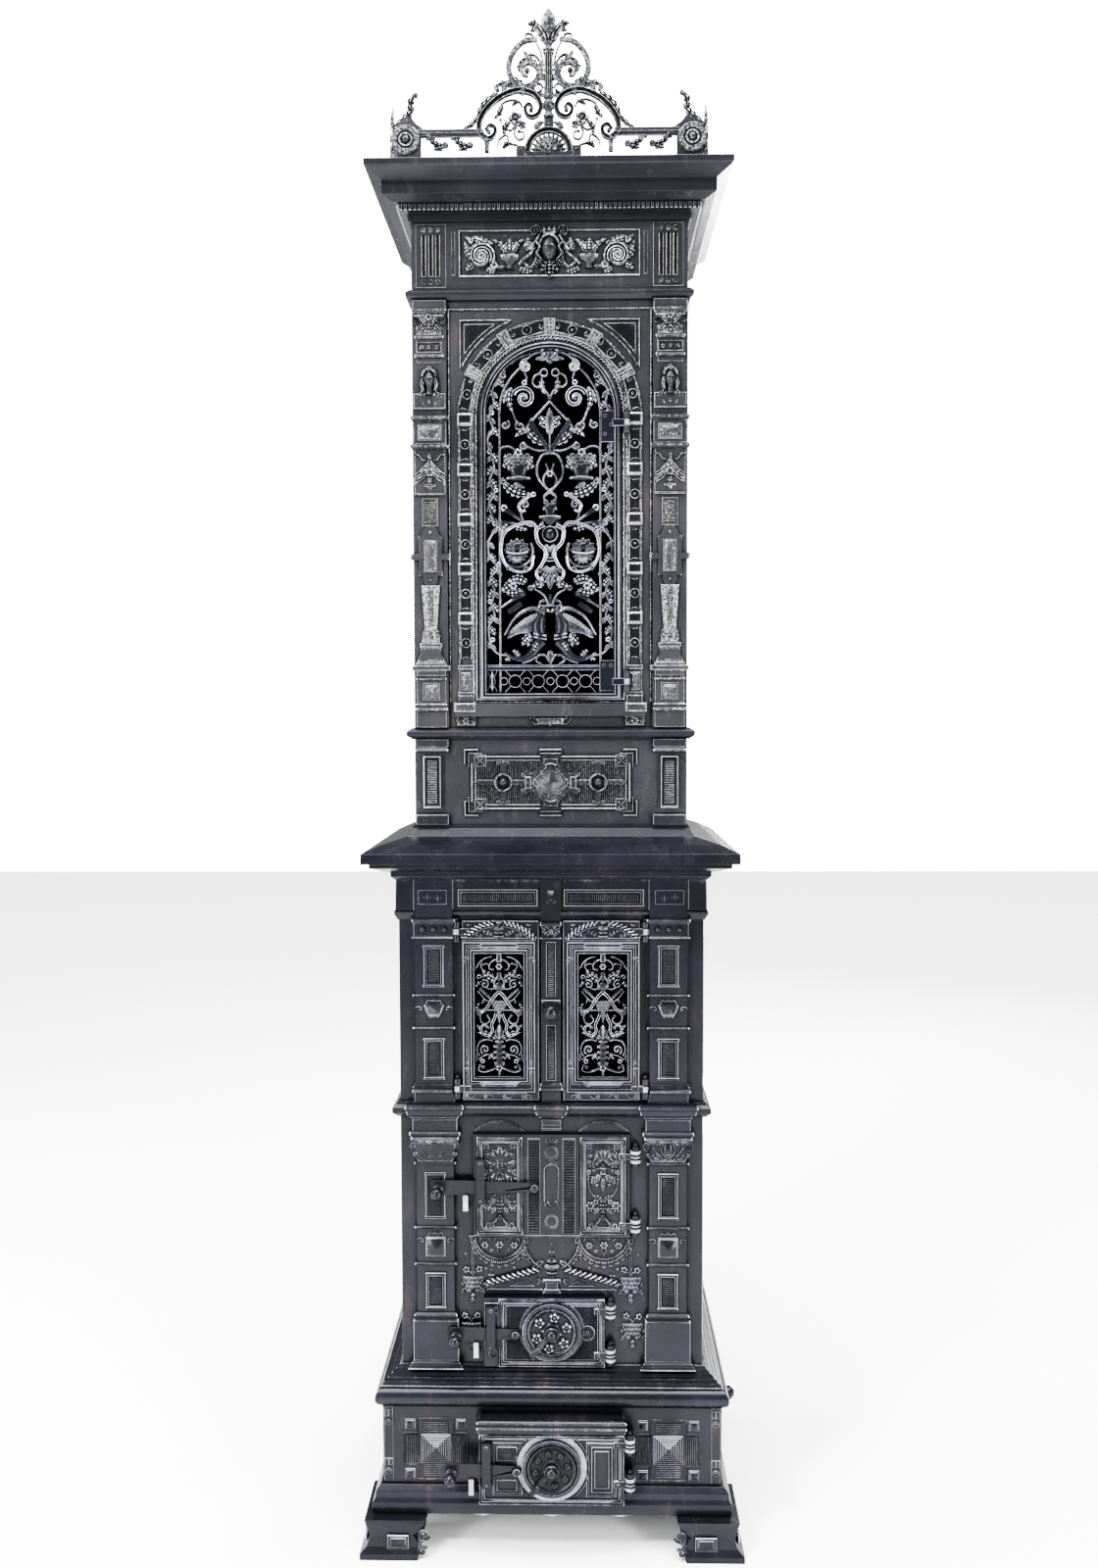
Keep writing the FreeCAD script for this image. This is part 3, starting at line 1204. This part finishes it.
def make_arch_tier():
    opening = arch_outline(s.arch_door_radius - s.door_lap, arch_door_low + s.door_lap, arch_centre)
    plate = front_plate("tower_plate", tower_half, tower_front, arch_low, upper_string_low, [opening])
    sill_half = s.arch_door_radius + s.sill_overhang
    sill_low = arch_low + s.sill_rise
    sill = block("arch_sill", (-sill_half, -tower_front - s.sill_proud, sill_low),
                 (sill_half, -tower_front, sill_low + s.sill_tall))
    whole = fuse("tower_front_cast", [plate, sill] + tower_pilasters() + arch_hinge.lugs())
    node("tower_front", cut("tower_front", whole, arch_hinge.lug_holes()))
    side_and_back_plates("tower", tower_half, tower_front, arch_low, upper_string_low)


def tower_pilasters():
    outer = tower_half - s.overcut
    inner = outer - s.tower_pilaster_wide
    face = -tower_front - s.tower_pilaster_proud
    return [block("tower_pilaster_left", (-outer, face, arch_low), (-inner, -tower_front, upper_string_low)),
            block("tower_pilaster_right", (inner, face, arch_low), (outer, -tower_front, upper_string_low))]


flue_z = (tower_low + lower_string_low) / 2


def make_arch_door():
    """Round-headed door: a frame with a lattice that stands for its cast tracery."""
    inner_half = s.arch_door_radius - s.arch_stile
    sill = arch_door_low + s.arch_stile
    outer = arch_outline(s.arch_door_radius, arch_door_low, arch_centre)
    window = arch_outline(inner_half, sill, arch_centre)
    frame = padded("arch_door_frame", "xz", [outer, window], arch_door_back, s.door_thick)
    lattice_back = arch_door_back - s.grille_sink
    bars = []
    half = s.bar_wide / 2
    front = lattice_back - s.grille_thick
    for number in (-1, 0, 1):
        middle = s.arch_door_radius * (number * 0.45)
        top = arch_centre + inner_half * (0.96 - 0.1 * abs(number))
        bars.append(block("arch_upright_%d" % number, (middle - half, front, sill),
                          (middle + half, lattice_back, top)))
    for number in range(6):
        middle = sill + (arch_centre - sill) * ((number + 0.5) / 5.5)
        bars.append(block("arch_rail_%d" % number, (-inner_half, front, middle - half),
                          (inner_half, lattice_back, middle + half)))
    whole = fuse("arch_door_cast", [frame] + bars + arch_hinge.knuckles(s.hinge_offset + s.leaf_reach))
    node("arch_door", cut("arch_door", whole, arch_hinge.knuckle_holes()))


def make_flue_collar():
    """Spigot for the flue pipe, flanged onto the back plate."""
    flange = s.flue_radius + s.flue_lip
    corners = [(s.flue_bore, 0), (flange, 0), (flange, s.wall),
               (s.flue_radius, s.wall), (s.flue_radius, s.flue_reach + s.wall),
               (s.flue_bore, s.flue_reach + s.wall)]
    node("flue_collar", turned("flue_collar", corners, (0, s.back_plane, flue_z), "+y"))


def make_cornice():
    reach, tall = s.cornice_reach, s.cornice_tall
    bed = cornice_low + tall * 0.16
    steps = [(reach * 0.06, cornice_low), (reach * 0.06, bed), (reach * 0.27, bed),
             (reach * 0.27, bed + tall * 0.14), (reach * 0.38, bed + tall * 0.14),
             (reach * 0.63, bed + tall * 0.24), (reach * 0.63, bed + tall * 0.51),
             (reach * 0.97, crest_low - tall * 0.16), (reach, crest_low - tall * 0.12), (reach, crest_low)]
    solid = moulding("top_cornice", tower_half, tower_front, steps)
    space = hollow("cornice_space", tower_half, tower_front, cornice_low - s.overcut, crest_low + s.overcut)
    recess = block("cornice_recess", (-tower_half, -tower_front, crest_low - s.wall),
                   (tower_half, s.back_plane - s.wall, crest_low + s.overcut))
    node("top_cornice", cut("top_cornice", solid, [space, recess]))
    plate = block("top_lid", (-tower_half, -tower_front, crest_low - s.wall),
                  (tower_half, s.back_plane - s.wall, crest_low))
    holes = tie_rod_bars("lid_rod_hole", s.rod_radius, crest_low - s.wall - s.overcut,
                         crest_low + s.overcut)
    node("top_plate", cut("top_plate", plate, holes))


def tie_rod_bars(name, radius, low, high):
    """Four upright bars at the tie rod places."""
    bars = []
    for number, (x, y) in enumerate(((-rod_x, -rod_front), (rod_x, -rod_front),
                                     (-rod_x, rod_back), (rod_x, rod_back))):
        bars.append(rod("%s_%d" % (name, number), (x, y, low), radius, high - low))
    return bars


def make_tie_rods():
    """Long bolts that clamp the tiers together, with a nut at each end."""
    low = base_low - s.wall - s.nut_tall
    high = crest_low + s.nut_tall
    shanks = tie_rod_bars("tie_rod", s.rod_radius, low, high)
    lower = tie_rod_bars("tie_nut_low", s.nut_radius, low, low + s.nut_tall)
    upper = tie_rod_bars("tie_nut_high", s.nut_radius, crest_low, high)
    rods = [fuse("tie_rod_whole_%d" % number, list(parts))
            for number, parts in enumerate(zip(shanks, lower, upper))]
    node("tie_rods", group("tie_rods", rods))


# ---------------------------------------------------------------- crest

def make_crest():
    """Front crest: rail with corner scrolls and finials, and the tall centre piece."""
    y_back = -tower_front - s.crest_proud
    y_front = y_back - s.crest_thick
    thin = s.crest_post_wide / 2
    rail_low = crest_low + s.crest_rail_rise
    rail_high = rail_low + s.crest_rail_tall
    corner_x = s.crest_half - s.crest_inset
    half = s.crest_thick / 2
    pieces = [block("crest_rail", (-s.crest_half, y_front, rail_low), (s.crest_half, y_back, rail_high))]
    for number, x in enumerate((-corner_x, -corner_x / 2, Size.of(0), corner_x / 2, corner_x)):
        pieces.append(block("crest_post_%d" % number, (x - thin, y_front, crest_low),
                            (x + thin, y_back, rail_low)))
    top = crest_low + s.crest_tall
    ring_z = top - s.crest_ring_radius * 2.32
    arm_top = top - s.crest_tall * 0.52
    for side in (-1, 1):
        x = corner_x * side
        pieces.append(rod("crest_disc_%d" % side, (x, y_back, rail_low), s.crest_disc_radius,
                          s.crest_thick, "-y"))
        pieces.append(cone("crest_finial_%d" % side, (x, y_back - half, rail_high - half),
                           s.crest_thick * 2, s.crest_thick / 3, s.crest_finial_tall))
        ring_x = (s.crest_ring_radius - half) * side
        outer = rod("crest_ring_%d" % side, (ring_x, y_back, ring_z), s.crest_ring_radius,
                    s.crest_thick, "-y")
        inner = rod("crest_ring_hole_%d" % side, (ring_x, y_back + s.overcut, ring_z), s.crest_ring_bore,
                    s.crest_thick + s.overcut * 2, "-y")
        pieces.append(cut("crest_band_%d" % side, outer, [inner]))
        reach = corner_x * (side * 0.5)
        beside = s.crest_post_wide * side
        slope = [(beside, arm_top), (beside, arm_top - s.crest_post_wide * 2.8), (reach, rail_high - half),
                 (reach - beside, rail_high + s.crest_post_wide)]
        if side > 0:
            slope.reverse()
        pieces.append(padded("crest_arm_%d" % side, "xz", [slope], y_back, s.crest_thick))
    shell = s.crest_shell_radius
    lunette = [bend((shell, rail_low), "b", rail_low, 1), (-shell, rail_low)]
    pieces.append(padded("crest_lunette", "xz", [lunette], y_back, s.crest_thick))
    leaf_half = s.crest_leaf_half
    leaf_low = top - leaf_half * 1.5
    pieces.append(block("crest_stem", (-thin, y_front, rail_high), (thin, y_back, leaf_low + thin)))
    leaf = [(-leaf_half, leaf_low + leaf_half * 0.4), (0, leaf_low), (leaf_half, leaf_low + leaf_half * 0.4),
            (leaf_half * 0.47, top - leaf_half * 0.53), (0, top), (leaf_half * -0.47, top - leaf_half * 0.53)]
    pieces.append(padded("crest_palmette", "xz", [leaf], y_back, s.crest_thick))
    node("crest_front", fuse("crest_front", pieces))


def make_galleries():
    """Low galleries along both sides of the cornice."""
    galleries = []
    thin = s.crest_post_wide / 2
    front = -tower_front - s.crest_proud
    back = s.back_plane - s.crest_post_wide
    rail_low = crest_low + s.crest_rail_rise
    rail_high = rail_low + s.crest_rail_tall
    spacing = (back - front - s.crest_post_wide * 2) / (GALLERY_POSTS - 1)
    for name, left in (("left", -s.crest_half), ("right", s.crest_half - s.crest_thick)):
        right = left + s.crest_thick
        pieces = [block("gallery_rail_" + name, (left, front, rail_low), (right, back, rail_high))]
        for number in range(GALLERY_POSTS):
            y = front + s.crest_post_wide + spacing * number
            title = "%s_%d" % (name, number)
            pieces.append(block("gallery_post_" + title, (left, y - thin, crest_low),
                                (right, y + thin, rail_low)))
            pieces.append(cone("gallery_leaf_" + title, (left + s.crest_thick / 2, y, rail_high),
                               s.crest_thick / 2, s.crest_thick / 6,
                               s.gallery_tall - s.crest_rail_rise - s.crest_rail_tall))
        galleries.append(fuse("gallery_" + name, pieces))
    node("side_galleries", group("side_galleries", galleries))


# ---------------------------------------------------------------- build, check, write

def build():
    make_feet()
    make_plinth()
    make_base()
    make_lip()
    make_firebox()
    make_band()
    make_bricks()
    make_grate()
    make_baffle()
    make_ash_pan()
    make_plain_doors()
    make_oven()
    make_oven_doors()
    make_oven_knob()
    make_oven_box()
    make_shelf()
    flue_hole = rod("flue_hole", (0, s.back_plane - s.wall - s.overcut, flue_z), s.flue_bore,
                    s.wall + s.overcut * 2, "+y")
    tube_tier("tower_base", tower_low, lower_string_low, [flue_hole])
    make_string_courses()
    make_arch_tier()
    make_arch_door()
    make_flue_collar()
    tube_tier("frieze_tier", frieze_low, cornice_low)
    make_cornice()
    make_tie_rods()
    make_crest()
    make_galleries()
    pins = [pin for hinge in HINGES for pin in hinge.pins()]
    node("hinge_pins", group("hinge_pins", pins))


def check():
    """Stop if any object failed or any sub-part has no valid shape."""
    failed = [item.Name for item in doc.Objects
              if "Invalid" in item.State or "Error" in item.State]
    if failed:
        raise RuntimeError("failed objects: " + ", ".join(failed))
    for name, thing in nodes.items():
        if thing.Shape.isNull() or not thing.Shape.isValid() or not thing.Shape.Solids:
            raise RuntimeError("bad shape: " + name)


build()
doc.recompute()
check()
os.makedirs("parts", exist_ok=True)
for node_name, thing in nodes.items():
    thing.Shape.exportStep("parts/%s.step" % node_name)
    print("%-20s solids %2d volume %10.0f" % (node_name, len(thing.Shape.Solids), thing.Shape.Volume))
